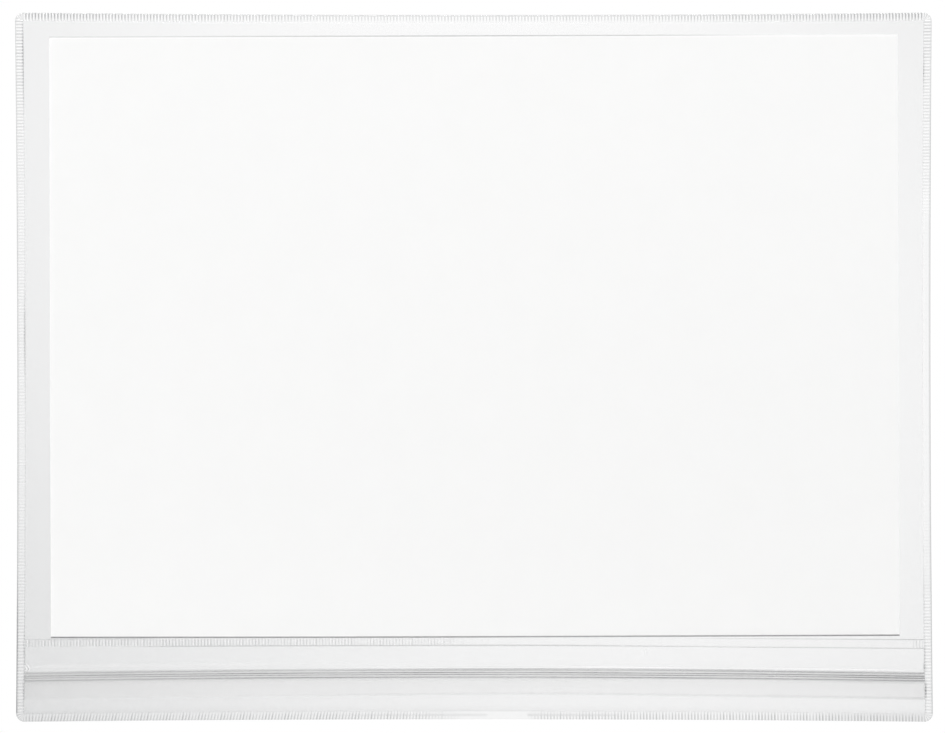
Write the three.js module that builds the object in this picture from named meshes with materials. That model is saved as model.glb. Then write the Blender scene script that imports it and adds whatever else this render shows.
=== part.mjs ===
// Waterproof poster pocket: two clear films welded round a rim, a press-lock zip along the lower edge,
// and a blank sheet of paper inside.
// Millimetres. +X right, +Z up, the front faces -Y. The back face lies on y = 0, centred on the origin.
import * as THREE from 'three'

// Paper insert, A4 on its side and cut 0.5 mm over, leaning a little as it stands
const SHEET_WIDTH = 297
const SHEET_HEIGHT = 210.5
const SHEET_THICKNESS = 0.12
const SHEET_LEAN_DEG = 0.17
const SHEET_SHIFT = 0.15

// Films
const BACK_FILM = 0.3
const FRONT_FILM = 0.3
const WELDED_FILM = 0.2
const TAPE = 0.4

// Rim and rooms round the sheet
const WELD_BAND = 2.7
const CORNER_RADIUS = 3
const SIDE_ROOM = 9.3
const TOP_ROOM = 4.85
const FOOT_ROOM = 0.45
const RISE_RUN = 7

// Zip: tongues on the upper rail press into grooves in the lower rail
const TONGUE_WIDTH = 0.7
const TONGUE_HEIGHT = 1.05
const TONGUE_TAPER = 0.1
const TONGUE_ROOM = 0.175
const TIP_ROOM = 0.15
const FACE_ROOM = 0.15
const END_WALL = 0.45
const MIDDLE_WALL = 0.7
const WALL_DRAFT = 0.06
const CRUSH_RUN = 1.5

// Upper rail, from its seam down to the lip
const SEAM_BAND = 2.7
const SEAM_STEP = 0.2
const UPPER_TAPE = 8.85
const STEP_RUN = 2.4
const STEP_ROOM = 0.25
const LIP_LENGTH = 6.0
const LIP_STEP = 0.65
const LIP_STEP_RUN = 1.6
const RIDGE_DEPTH = 0.12
const LOWER_TAPE = 11

// Clearances
const TAPE_GAP = 0.05
const JOINT_GAP = 0.3

// How far the welds draw the film in, halfway along each edge
const SIDE_DRAW = 0.65
const TOP_DRAW = 0.9
const BOTTOM_DRAW = 0.9
const ZIP_BOW = 1.4
const SEAM_BOW = 0.5
const DRAW_REACH = 25

// Colours
const CLEAR_FILM = 0xe6e9ea
const ZIP_PVC = 0xd3d8da
const PAPER = 0xfafaf8

// Heights, from the bottom edge upwards
const lean = THREE.MathUtils.degToRad(SHEET_LEAN_DEG)
const leaningHeight = SHEET_HEIGHT * Math.cos(lean) + SHEET_WIDTH * Math.sin(lean)
const groove = TONGUE_WIDTH + 2 * TONGUE_ROOM
const profileHeight = 2 * END_WALL + 2 * groove + MIDDLE_WALL
const height = 2 * WELD_BAND + LOWER_TAPE + profileHeight + UPPER_TAPE + SEAM_BAND
  + FOOT_ROOM + leaningHeight + TOP_ROOM
const bottom = -height / 2
const top = height / 2
const bottomBand = bottom + WELD_BAND
const profileBottom = bottomBand + LOWER_TAPE
const profileTop = profileBottom + profileHeight
const seamBottom = profileTop + UPPER_TAPE
const seamTop = seamBottom + SEAM_BAND
const filmEdge = seamTop + JOINT_GAP
const sheetFoot = seamTop + FOOT_ROOM

// Widths, from the middle outwards
const halfWidth = SHEET_WIDTH / 2 + SIDE_ROOM + WELD_BAND
const bandInner = halfWidth - WELD_BAND
const flapHalf = bandInner - JOINT_GAP

// Depths, from the back face forwards
const tapeBack = BACK_FILM + TAPE_GAP
const tapeFront = tapeBack + TAPE
const panelFront = tapeFront + FRONT_FILM
const rimFront = BACK_FILM + WELDED_FILM
const grooveFloor = BACK_FILM + TAPE
const wallFront = grooveFloor + TONGUE_HEIGHT + TIP_ROOM - FACE_ROOM
const plateBack = wallFront + FACE_ROOM
const plateFront = plateBack + TAPE

// A value read off a line through [place, value] points, flat beyond its ends
function along(points, place) {
  if (place <= points[0][0]) return points[0][1]
  for (let i = 1; i < points.length; i++) {
    const [x0, v0] = points[i - 1]
    const [x1, v1] = points[i]
    if (place <= x1) return v0 + (v1 - v0) * (place - x0) / (x1 - x0)
  }
  return points.at(-1)[1]
}

// The welds draw the flat film in: its edges bow inwards and the zip bows up in the middle
const rises = [
  [bottom, BOTTOM_DRAW], [profileBottom - LIP_LENGTH, ZIP_BOW], [profileTop, ZIP_BOW], [seamTop, SEAM_BOW],
  [seamTop + DRAW_REACH, 0], [top - DRAW_REACH, 0], [top, -TOP_DRAW],
]
function drawnIn(x, z) {
  const bow = 1 - (x / halfWidth) ** 2
  const waist = 1 - (z / top) ** 2
  return [x * (1 - SIDE_DRAW / halfWidth * waist), z + bow * along(rises, z)]
}

// Rounds the corners of the outline: a square at each corner is pulled into a quarter disc
function rounded(x, z) {
  const cx = halfWidth - CORNER_RADIUS
  const cz = top - CORNER_RADIUS
  const u = (Math.abs(x) - cx) / CORNER_RADIUS
  const v = (Math.abs(z) - cz) / CORNER_RADIUS
  if (u <= 0 || v <= 0) return [x, z]
  const reach = Math.max(u, v) * CORNER_RADIUS
  const turn = Math.PI / 4 * (u >= v ? v / u : 2 - u / v)
  return [Math.sign(x) * (cx + reach * Math.cos(turn)), Math.sign(z) * (cz + reach * Math.sin(turn))]
}

// Evenly spaced values from a to b, both included
function steps(a, b, count) {
  return Array.from({ length: count + 1 }, (_, i) => a + (b - a) * i / count)
}

// Sorted values with near repeats dropped
function distinct(values) {
  return values.sort((a, b) => a - b).filter((v, i, all) => i === 0 || v - all[i - 1] > 0.004)
}

function meshFrom(name, positions, indices, color, roughness, opacity) {
  const geometry = new THREE.BufferGeometry()
  geometry.setAttribute('position', new THREE.Float32BufferAttribute(positions, 3))
  geometry.setIndex(indices)
  geometry.computeVertexNormals()
  return named(name, geometry, color, roughness, opacity)
}

function named(name, geometry, color, roughness, opacity) {
  const material = new THREE.MeshStandardMaterial({ color, roughness, metalness: 0 })
  material.opacity = opacity
  material.transparent = opacity < 1
  const mesh = new THREE.Mesh(geometry, material)
  mesh.name = name
  return mesh
}

// A sheet over a grid of xs and zs. back and front give its depths; keep says which cells are there.
function filmSolid(xs, zs, back, front, keep) {
  const positions = []
  const indices = []
  const made = new Map()
  const corner = (i, j, side) => {
    const key = `${i} ${j} ${side}`
    if (!made.has(key)) {
      const [x, z] = drawnIn(...rounded(xs[i], zs[j]))
      const depth = (side ? front : back)(xs[i], zs[j])
      made.set(key, positions.length / 3)
      positions.push(x, -depth, z)
    }
    return made.get(key)
  }
  const quad = (a, b, c, d) => indices.push(a, b, c, a, c, d)
  const kept = (i, j) => i >= 0 && j >= 0 && i < xs.length - 1 && j < zs.length - 1
    && keep((xs[i] + xs[i + 1]) / 2, (zs[j] + zs[j + 1]) / 2)
  const wall = (a, b) => quad(corner(...a, 0), corner(...b, 0), corner(...b, 1), corner(...a, 1))
  for (let i = 0; i < xs.length - 1; i++) {
    for (let j = 0; j < zs.length - 1; j++) {
      if (!kept(i, j)) continue
      const [low, right, far, left] = [[i, j], [i + 1, j], [i + 1, j + 1], [i, j + 1]]
      quad(corner(...low, 1), corner(...right, 1), corner(...far, 1), corner(...left, 1))
      quad(corner(...left, 0), corner(...far, 0), corner(...right, 0), corner(...low, 0))
      if (!kept(i, j - 1)) wall(low, right)
      if (!kept(i + 1, j)) wall(right, far)
      if (!kept(i, j + 1)) wall(far, left)
      if (!kept(i - 1, j)) wall(left, low)
    }
  }
  return [positions, indices]
}

// Grid lines shared by the films, so that rims lie on each other
const cornerCuts = [0, 0.3, 0.6, 1].map((share) => share * CORNER_RADIUS)
const sideCuts = [...cornerCuts, WELD_BAND, WELD_BAND + JOINT_GAP, WELD_BAND + CRUSH_RUN]
const riseCuts = steps(0, 1, 4).map((share) => WELD_BAND + share * share * RISE_RUN)
const mirrored = (cuts, half) => cuts.flatMap((cut) => [cut - half, half - cut])
const middleLines = steps(-halfWidth + WELD_BAND + RISE_RUN, halfWidth - WELD_BAND - RISE_RUN, 12)

// The front film climbs from the weld to the height at which it passes over the zip's tape
function frontLift(x, z) {
  const inset = Math.min(halfWidth - Math.abs(x), top - z) - WELD_BAND
  const share = Math.min(Math.max(inset / RISE_RUN, 0), 1)
  return Math.sin(share * Math.PI / 2)
}

function backSheet() {
  const cut = distinct(mirrored(sideCuts, halfWidth).concat(middleLines))
  const rise = distinct(mirrored(cornerCuts, top).concat(steps(bottom, top, 12)))
  const edge = [
    ...cut.map((x) => [x, bottom]), ...rise.slice(1).map((z) => [halfWidth, z]),
    ...cut.toReversed().slice(1).map((x) => [x, top]), ...rise.toReversed().slice(1, -1).map((z) => [-halfWidth, z]),
  ]
  const shape = new THREE.Shape(edge.map(([x, z]) => new THREE.Vector2(...drawnIn(...rounded(x, z)))))
  const geometry = new THREE.ExtrudeGeometry(shape, { depth: BACK_FILM, bevelEnabled: false })
  geometry.rotateX(Math.PI / 2)
  return named('back_sheet', geometry, CLEAR_FILM, 0.15, 0.3)
}

function frontSheet() {
  const xs = distinct(mirrored([...sideCuts, ...riseCuts], halfWidth).concat(middleLines))
  const zs = distinct([
    ...cornerCuts.map((cut) => top - cut), ...riseCuts.map((cut) => top - cut),
    ...steps(filmEdge, top - WELD_BAND - RISE_RUN, 8),
  ])
  const back = (x, z) => BACK_FILM + (tapeFront - BACK_FILM) * frontLift(x, z)
  const front = (x, z) => rimFront + (panelFront - rimFront) * frontLift(x, z)
  return meshFrom('front_sheet', ...filmSolid(xs, zs, back, front, () => true), CLEAR_FILM, 0.15, 0.3)
}

// Places across the lower rail's profile, each with the share of the wall height there
function profileLines() {
  const lines = []
  let z = profileBottom
  for (const [wall, next] of [[END_WALL, groove], [MIDDLE_WALL, groove], [END_WALL, 0]]) {
    lines.push([z, 0], [z + WALL_DRAFT, 1], [z + wall - WALL_DRAFT, 1], [z + wall, 0])
    z += wall + next
  }
  return lines
}

function zipLowerRail() {
  const lines = profileLines()
  const crushed = (x) => Math.min(Math.max((bandInner - Math.abs(x)) / CRUSH_RUN, 0), 1)
  const front = (x, z) => {
    const inset = Math.min(halfWidth - Math.abs(x), z - bottom)
    if (inset <= WELD_BAND + JOINT_GAP / 2) return rimFront
    return grooveFloor + (wallFront - grooveFloor) * along(lines, z) * crushed(x)
  }
  const xs = distinct(mirrored(sideCuts, halfWidth).concat(steps(-bandInner + CRUSH_RUN, bandInner - CRUSH_RUN, 16)))
  const zs = distinct([
    ...cornerCuts.map((cut) => bottom + cut), bottomBand, bottomBand + JOINT_GAP,
    ...steps(bottomBand + JOINT_GAP, profileBottom, 3), ...lines.map(([z]) => z), seamTop,
  ])
  const keep = (x, z) => z < profileTop || Math.abs(x) > bandInner
  return meshFrom('zip_lower_rail', ...filmSolid(xs, zs, () => BACK_FILM, front, keep), ZIP_PVC, 0.25, 0.55)
}

// Outline of the upper rail seen from its end, as [depth, height] points, clockwise from its top
function upperRailSection() {
  const slope = Math.hypot(STEP_RUN, plateFront - tapeFront)
  const plateTop = profileTop + STEP_ROOM
  const thinner = TAPE * (slope - (plateFront - tapeFront)) / STEP_RUN
  const lipEdge = profileBottom - LIP_LENGTH
  const lipTop = profileBottom - JOINT_GAP
  const section = [
    [tapeBack, seamTop], [panelFront, seamTop], [panelFront, seamBottom + SEAM_STEP], [tapeFront, seamBottom],
    [tapeFront, plateTop + STEP_RUN + thinner], [plateFront, plateTop + thinner],
  ]
  for (const z of tongueCentres().toReversed()) {
    section.push([plateFront, z + groove / 2], [plateFront - RIDGE_DEPTH, z], [plateFront, z - groove / 2])
  }
  section.push(
    [plateFront, lipTop], [plateFront - LIP_STEP, lipTop - LIP_STEP_RUN], [plateFront - LIP_STEP, lipEdge],
    [plateBack - LIP_STEP, lipEdge], [plateBack - LIP_STEP, lipTop - LIP_STEP_RUN], [plateBack, lipTop],
  )
  for (const z of tongueCentres()) {
    const root = TONGUE_WIDTH / 2
    section.push(
      [plateBack, z - root], [plateBack - TONGUE_HEIGHT, z - root + TONGUE_TAPER],
      [plateBack - TONGUE_HEIGHT, z + root - TONGUE_TAPER], [plateBack, z + root],
    )
  }
  section.push([plateBack, plateTop], [tapeBack, plateTop + STEP_RUN])
  return section
}

function tongueCentres() {
  const first = profileBottom + END_WALL + groove / 2
  return [first, first + groove + MIDDLE_WALL]
}

// The section swept from one side of the pocket to the other, bowing as the film does
function zipUpperRail() {
  const section = upperRailSection()
  const stations = steps(-flapHalf, flapHalf, 20)
  const positions = stations.flatMap((x) => section.flatMap(([depth, level]) => {
    const [px, pz] = drawnIn(x, level)
    return [px, -depth, pz]
  }))
  const count = section.length
  const indices = []
  for (let s = 0; s < stations.length - 1; s++) {
    for (let i = 0; i < count; i++) {
      const [a, b] = [s * count + i, s * count + (i + 1) % count]
      indices.push(a, b, a + count, b, b + count, a + count)
    }
  }
  const outline = section.map(([depth, level]) => new THREE.Vector2(depth, level))
  const last = (stations.length - 1) * count
  for (const [a, b, c] of THREE.ShapeUtils.triangulateShape(outline, [])) {
    indices.push(a, b, c, last + a, last + c, last + b)
  }
  return meshFrom('zip_upper_rail', positions, indices, ZIP_PVC, 0.25, 0.55)
}

function posterSheet() {
  const sheet = named('poster_sheet', new THREE.BoxGeometry(SHEET_WIDTH, SHEET_THICKNESS, SHEET_HEIGHT), PAPER, 0.85, 1)
  sheet.rotation.y = -lean
  sheet.position.set(SHEET_SHIFT, -BACK_FILM - SHEET_THICKNESS / 2, sheetFoot + leaningHeight / 2)
  return sheet
}

const pocket = new THREE.Group()
pocket.add(backSheet(), frontSheet(), zipLowerRail(), zipUpperRail(), posterSheet())

export default pocket
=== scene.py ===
# %% [markdown]
# A clear poster pocket with a press-lock zip
#
# The real thing is two sheets of soft clear PVC, welded together round a ribbed rim. A zip strip runs
# along the lower edge, and a blank sheet of paper stands inside. Almost nothing on it has a colour of
# its own, so it is drawn by lines: weld ribs, cut edges, creases and the zip's ridges. This lesson
# builds the ribs, edges and ridges as real geometry, marks the creases and other lines at the points
# of the meshes, and paints shade and highlights into the plastic's colour along those marks.

# %% Load the fixed frame
import math

import bpy
import numpy as np
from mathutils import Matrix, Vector


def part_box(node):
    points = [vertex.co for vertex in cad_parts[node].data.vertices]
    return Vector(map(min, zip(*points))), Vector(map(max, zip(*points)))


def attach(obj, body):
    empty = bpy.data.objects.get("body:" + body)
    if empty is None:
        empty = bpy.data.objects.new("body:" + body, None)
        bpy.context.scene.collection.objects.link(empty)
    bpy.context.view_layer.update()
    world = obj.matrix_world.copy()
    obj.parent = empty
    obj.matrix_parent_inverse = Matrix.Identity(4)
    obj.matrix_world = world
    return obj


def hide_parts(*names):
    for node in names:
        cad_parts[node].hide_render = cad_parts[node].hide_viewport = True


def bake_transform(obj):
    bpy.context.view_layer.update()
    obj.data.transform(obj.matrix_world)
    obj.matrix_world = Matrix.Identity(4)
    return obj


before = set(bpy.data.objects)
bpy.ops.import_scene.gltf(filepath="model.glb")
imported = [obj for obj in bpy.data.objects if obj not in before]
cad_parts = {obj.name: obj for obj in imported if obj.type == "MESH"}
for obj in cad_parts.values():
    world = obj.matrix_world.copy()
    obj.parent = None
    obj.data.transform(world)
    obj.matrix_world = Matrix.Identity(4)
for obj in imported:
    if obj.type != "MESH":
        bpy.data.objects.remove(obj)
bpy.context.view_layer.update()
scene = bpy.context.scene
print("frame loaded:", ", ".join(sorted(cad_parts)))

# %% [markdown]
# Every size is in metres, but a pocket is easier to think about in millimetres, so each size is
# written as a number of millimetres times MM. The widths, heights and depths build on each other in
# the order in which the real layers lie on each other.

# %% Sizes of the pocket
MM = 0.001
back_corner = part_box("back_sheet")[1]
half_width = back_corner.x
half_height = back_corner.z

WELD_BAND = 2.7 * MM
CORNER_RADIUS = 3.0 * MM
LOWER_TAPE = 11.0 * MM
PROFILE_HEIGHT = 3.7 * MM
UPPER_TAPE = 8.85 * MM
SEAM_BAND = 2.7 * MM
LIP_LENGTH = 6.0 * MM
JOINT_GAP = 0.3 * MM
RISE_RUN = 7.0 * MM

bottom_band = -half_height + WELD_BAND
profile_bottom = bottom_band + LOWER_TAPE
profile_top = profile_bottom + PROFILE_HEIGHT
seam_bottom = profile_top + UPPER_TAPE
seam_top = seam_bottom + SEAM_BAND
film_edge = seam_top + JOINT_GAP
lip_edge = profile_bottom - LIP_LENGTH
band_inner = half_width - WELD_BAND
print(f"pocket {2e3 * half_width:.1f} by {2e3 * half_height:.1f} mm, seam at {1e3 * seam_top:.1f} mm")

# %% Depths of the layers, from the back face forwards
BACK_FILM = 0.3 * MM
FILM_GAP = 0.01 * MM
RIM_FRONT = 0.5 * MM
TAPE_BACK = 0.35 * MM
TAPE_FRONT = 0.75 * MM
PANEL_FRONT = 1.05 * MM
GROOVE_FLOOR = 0.7 * MM
WALL_FRONT = 1.75 * MM
PLATE_BACK = 1.9 * MM
PLATE_FRONT = 2.3 * MM
print("depth over the zip:", round(1e3 * PLATE_FRONT, 2), "mm")

# %% [markdown]
# Camera
#
# The photograph looks straight at the pocket from far away, so its edges stay parallel. A long lens
# does that. The frame of the picture is 945 by 733 pixels, and the paper inside tells its scale.

# %% Camera
PIXELS_WIDE = 945
PIXELS_PER_MM = 2.858
FRAME_WIDTH = PIXELS_WIDE / PIXELS_PER_MM * MM
SENSOR_WIDTH = 36.0
CAMERA_FAR = 2.2
AIM_X = -0.49 * MM
AIM_Z = 0.24 * MM

camera_data = bpy.data.cameras.new("camera")
camera_data.sensor_width = SENSOR_WIDTH
camera_data.lens = SENSOR_WIDTH * (CAMERA_FAR - PANEL_FRONT) / FRAME_WIDTH
camera = bpy.data.objects.new("camera", camera_data)
camera.location = (AIM_X, -CAMERA_FAR, AIM_Z)
camera.rotation_euler = (math.radians(90), 0, 0)
scene.collection.objects.link(camera)
scene.camera = camera
print(f"lens {camera_data.lens:.0f} mm at {CAMERA_FAR} m")

# %% [markdown]
# Light and floor
#
# Clear plastic has to be shown against something. The world is plain white to the eye, in mirrors and
# through the plastic, but lights the surfaces less than that, so that the lamps can model the ridges.
# A large soft lamp stands high in front of the pocket, and a weaker one lights it from behind. The
# nodes of the world and of every material are made with a few short helpers.


# %% Helpers for node trees
def give(tree, socket, value):
    """Sets an input to a number or a colour, or links it to another node's output."""
    if isinstance(value, bpy.types.NodeSocket):
        tree.links.new(value, socket)
    else:
        socket.default_value = value


def fill(tree, node, **inputs):
    """Gives a node its inputs by their labels. An underscore stands for a space."""
    for label, value in inputs.items():
        give(tree, node.inputs[label.replace("_", " ")], value)
    return node


def add_node(tree, kind, **inputs):
    return fill(tree, tree.nodes.new("ShaderNode" + kind), **inputs)


def add_math(tree, operation, *parts):
    """Works a number out from numbers or sockets, and keeps it between 0 and 1."""
    node = tree.nodes.new("ShaderNodeMath")
    node.operation = operation
    node.use_clamp = True
    for socket, value in zip(node.inputs, parts):
        give(tree, socket, value)
    return node.outputs["Value"]


def mix_colour(tree, share, first, second):
    node = tree.nodes.new("ShaderNodeMix")
    node.data_type = "RGBA"
    return fill(tree, node, Factor=share, A=first, B=second).outputs["Result"]


def show_mix(tree, share, under, over):
    """Sends one shader to the output, with another over it by a share."""
    mix = add_node(tree, "MixShader", Fac=share)
    tree.links.new(under, mix.inputs[1])
    tree.links.new(over, mix.inputs[2])
    tree.links.new(mix.outputs["Shader"], tree.nodes["Material Output"].inputs["Surface"])


print("node helpers ready for Blender", bpy.app.version_string)

# %% World
WORLD_LIGHT = 0.55
WHITE = (1.0, 1.0, 1.0, 1)
world = bpy.data.worlds.new("studio")
scene.world = world
world.use_nodes = True
world_tree = world.node_tree
rays = add_node(world_tree, "LightPath").outputs
seen = add_math(world_tree, "MAXIMUM", rays["Is Camera Ray"], rays["Is Glossy Ray"])
seen_too = add_math(world_tree, "MAXIMUM", seen, rays["Is Transmission Ray"])
brightness = add_node(world_tree, "MapRange", Value=seen_too, To_Min=WORLD_LIGHT, To_Max=1.0)
fill(world_tree, world_tree.nodes["Background"], Color=WHITE, Strength=brightness.outputs["Result"])
print("world lights at", WORLD_LIGHT)

# %% Lamps
KEY_LAMP = {"place": (-0.1, -2.5, 1.95), "size": 1.0, "watts": 49.0}
BACK_LAMP = {"place": (-0.6, 1.1, 0.7), "size": 0.8, "watts": 8.0}


def area_lamp(name, place, size, watts):
    """A round lamp that faces the middle of the pocket."""
    data = bpy.data.lights.new(name, "AREA")
    data.shape = "DISK"
    data.size = size
    data.energy = watts
    lamp = bpy.data.objects.new(name, data)
    lamp.location = place
    lamp.rotation_euler = (-Vector(place)).to_track_quat("-Z", "Y").to_euler()
    scene.collection.objects.link(lamp)
    return lamp


lamps = [area_lamp("key", **KEY_LAMP), area_lamp("back_light", **BACK_LAMP)]
print("lamps:", [lamp.name for lamp in lamps])

# %% [markdown]
# The pocket hangs on a wall or door, so the floor lies a little below it. A wide disc of pale,
# matt material is enough. Close to the pocket it keeps the shadow, and further out it fades to the
# white of the world, so that no horizon shows.

# %% Floor
FLOOR_DROP = 60 * MM
FLOOR_RADIUS = 3.0
FLOOR_PALE = (0.9, 0.9, 0.9, 1)
FLOOR_MATT = 0.9
NEAR_GLOW = 0.55
FADE_FROM = 0.3
FADE_TO = 0.85


def floor_material():
    material = bpy.data.materials.new("pale_floor")
    material.use_nodes = True
    tree = material.node_tree
    shade = fill(tree, tree.nodes["Principled BSDF"], Base_Color=FLOOR_PALE, Roughness=FLOOR_MATT)
    glow = add_node(tree, "Emission")
    distance = add_node(tree, "VectorMath")
    distance.operation = "LENGTH"
    tree.links.new(add_node(tree, "TexCoord").outputs["Object"], distance.inputs[0])
    fade = add_node(
        tree, "MapRange",
        Value=distance.outputs["Value"], From_Min=FADE_FROM, From_Max=FADE_TO, To_Min=NEAR_GLOW,
    )
    seen_directly = add_node(tree, "LightPath").outputs["Is Camera Ray"]
    share = add_math(tree, "MULTIPLY", seen_directly, fade.outputs["Result"])
    show_mix(tree, share, shade.outputs["BSDF"], glow.outputs["Emission"])
    return material


bpy.ops.mesh.primitive_circle_add(vertices=96, radius=FLOOR_RADIUS, fill_type="NGON")
floor = bpy.context.object
floor.name = "floor"
floor.location.z = -half_height - FLOOR_DROP
floor.data.materials.append(floor_material())
scene.view_settings.view_transform = "Standard"
print("floor", round(1e3 * FLOOR_DROP), "mm below the pocket")

# %% [markdown]
# Finish of the plastic, with painted shade and painted highlights
#
# Clear PVC lets nearly everything through head on. What draws it is where it is bent: light from
# behind is turned aside there and the line looks grey, so that grey is painted in as shade, and the
# light lines are painted highlights. Each mesh below carries two numbers at each point, painted shade
# and painted light, and one node group turns them into a colour and a cover, which is how much of the
# view behind is hidden. The film, its painted shade and its painted light each let a share through,
# and those shares multiply.

# %% Node group: plastic tone
COVER_OF_PAINTED_SHADE = 0.85
COVER_OF_PAINTED_LIGHT = 0.8
PAINTED_SHADE_GREY = (0.12, 0.125, 0.13, 1)


def new_group(name, inputs, outputs):
    group = bpy.data.node_groups.new(name, "ShaderNodeTree")
    for label, kind, value in inputs:
        socket = group.interface.new_socket(label, in_out="INPUT", socket_type=kind)
        socket.default_value = value
    for label, kind in outputs:
        group.interface.new_socket(label, in_out="OUTPUT", socket_type=kind)
    return group, group.nodes.new("NodeGroupInput"), group.nodes.new("NodeGroupOutput")


def mark_on(tree, label):
    """Reads a number that the mesh carries at each of its points."""
    mark = tree.nodes.new("ShaderNodeAttribute")
    mark.attribute_name = label
    return mark.outputs["Fac"]


def plastic_tone_group():
    group, entry, result = new_group(
        "plastic_tone",
        [("Film Color", "NodeSocketColor", (0.5, 0.5, 0.5, 1)), ("Cover", "NodeSocketFloat", 0.03)],
        [("Color", "NodeSocketColor"), ("Cover", "NodeSocketFloat")],
    )
    # The first mark paints shade into the colour and the cover, the second paints highlights.
    dark = add_math(group, "MULTIPLY", mark_on(group, "painted_shade"), COVER_OF_PAINTED_SHADE)
    white = add_math(group, "MULTIPLY", mark_on(group, "painted_light"), COVER_OF_PAINTED_LIGHT)
    clear = [add_math(group, "SUBTRACT", 1.0, part) for part in (entry.outputs["Cover"], dark, white)]
    unmarked = add_math(group, "MULTIPLY", clear[1], clear[2])
    cover = add_math(group, "SUBTRACT", 1.0, add_math(group, "MULTIPLY", clear[0], unmarked))
    dark_part = add_math(group, "DIVIDE", dark, cover)
    white_part = add_math(group, "DIVIDE", white, cover)
    tinted = mix_colour(group, dark_part, entry.outputs["Film Color"], PAINTED_SHADE_GREY)
    fill(group, result, Color=mix_colour(group, white_part, tinted, WHITE), Cover=cover)
    return group


plastic_tone = plastic_tone_group()
print("group:", plastic_tone.name)

# %% [markdown]
# The photographed pocket is clearest above its middle and greyer towards the lower left. A second
# group paints that greying in as shade over the film's own faint cover, from the place on the pocket:
# it grows with the square of the distance from the clear spot, measured on a tilted oval.

# %% Node group: film tint and painted shade
PAINTED_SHADE_CENTRE = (15.5 * MM, 0.0, 61 * MM)
PAINTED_SHADE_TURN = (0.0, -math.radians(40), 0.0)
PAINTED_SHADE_OVAL = (136 * MM, 1.0, 180 * MM)


def tint_and_painted_shade_group():
    group, entry, result = new_group(
        "tint_and_painted_shade",
        [("Least", "NodeSocketFloat", 0.03), ("Gain", "NodeSocketFloat", 0.06)],
        [("Cover", "NodeSocketFloat")],
    )
    place = add_node(group, "TexCoord").outputs["Object"]
    oval = group.nodes.new("ShaderNodeMapping")
    oval.vector_type = "TEXTURE"
    fill(group, oval, Vector=place, Location=PAINTED_SHADE_CENTRE, Rotation=PAINTED_SHADE_TURN, Scale=PAINTED_SHADE_OVAL)
    square = group.nodes.new("ShaderNodeVectorMath")
    square.operation = "DOT_PRODUCT"
    group.links.new(oval.outputs["Vector"], square.inputs[0])
    group.links.new(oval.outputs["Vector"], square.inputs[1])
    gain, least = entry.outputs["Gain"], entry.outputs["Least"]
    fill(group, result, Cover=add_math(group, "MULTIPLY_ADD", square.outputs["Value"], gain, least))
    return group


tint_and_painted_shade = tint_and_painted_shade_group()
print("group:", tint_and_painted_shade.name)

# %% [markdown]
# A third group gives the skin of soft PVC: slow waves a few centimetres long, which also make the
# gloss wander a little. One noise texture with no detail does both, because a ray through the pocket
# crosses up to eight such surfaces, and each of them has to work this out.

# %% Node group: soft skin
WAVE_SCALE = 28.0


def soft_skin_group():
    group, entry, result = new_group(
        "soft_skin",
        [("Roughness", "NodeSocketFloat", 0.12), ("Spread", "NodeSocketFloat", 0.08)],
        [("Height", "NodeSocketFloat"), ("Roughness", "NodeSocketFloat")],
    )
    place = add_node(group, "TexCoord").outputs["Object"]
    waves = add_node(group, "TexNoise", Vector=place, Scale=WAVE_SCALE, Detail=0.0).outputs["Fac"]
    wander = add_math(group, "MULTIPLY_ADD", waves, entry.outputs["Spread"], entry.outputs["Roughness"])
    fill(group, result, Height=waves, Roughness=wander)
    return group


soft_skin = soft_skin_group()
print("group:", soft_skin.name)

# %% [markdown]
# The material itself mixes that tone with a clear gloss. Head on, plastic mirrors about 4% of the
# light, and nearly all of it at a glancing angle. The Facing output of Layer Weight, raised to the
# fifth power, follows that curve on both sides of a sheet.

# %% Gloss of clear plastic
HEAD_ON_GLOSS = 0.04
GLANCING_GLOSS = 0.9
GLANCE_POWER = 5.0
EVEN_BLEND = 0.5
GLOSS_GREY = (0.9, 0.9, 0.9, 1)


def add_gloss(tree, shade, normal, roughness):
    """Puts a clear gloss over the shader, weak head on and strong at a glancing angle."""
    gloss = add_node(tree, "BsdfGlossy", Color=GLOSS_GREY, Roughness=roughness, Normal=normal)
    facing = add_node(tree, "LayerWeight", Blend=EVEN_BLEND).outputs["Facing"]
    glance = add_math(tree, "POWER", facing, GLANCE_POWER)
    share = add_node(tree, "MapRange", Value=glance, To_Min=HEAD_ON_GLOSS, To_Max=GLANCING_GLOSS)
    show_mix(tree, share.outputs["Result"], shade.outputs["BSDF"], gloss.outputs["BSDF"])


print("gloss from", HEAD_ON_GLOSS, "head on to", GLANCING_GLOSS)

# %% Material: clear plastic
WAVE_STRENGTH = 0.25
WAVE_HEIGHT = 0.6 * MM


def place_group(tree, group, **inputs):
    """Puts a node group into a material with its own values."""
    node = tree.nodes.new("ShaderNodeGroup")
    node.node_tree = group
    return fill(tree, node, **inputs)


def clear_plastic(name, film_grey, least, gain, roughness):
    """least is the film's own faint cover at the clear spot, and gain is how fast the painted shade grows
    from there.
    """
    material = bpy.data.materials.new(name)
    material.use_nodes = True
    tree = material.node_tree
    tint_and_shade = place_group(tree, tint_and_painted_shade, Least=least, Gain=gain).outputs["Cover"]
    tone = place_group(tree, plastic_tone, Film_Color=(*film_grey, 1), Cover=tint_and_shade).outputs
    skin = place_group(tree, soft_skin, Roughness=roughness).outputs
    bump = add_node(tree, "Bump", Strength=WAVE_STRENGTH, Distance=WAVE_HEIGHT, Height=skin["Height"])
    normal = bump.outputs["Normal"]
    shade = fill(tree, tree.nodes["Principled BSDF"], Base_Color=tone["Color"], Alpha=tone["Cover"])
    fill(tree, shade, Roughness=skin["Roughness"], Normal=normal)
    add_gloss(tree, shade, normal, roughness)
    return material


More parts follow.
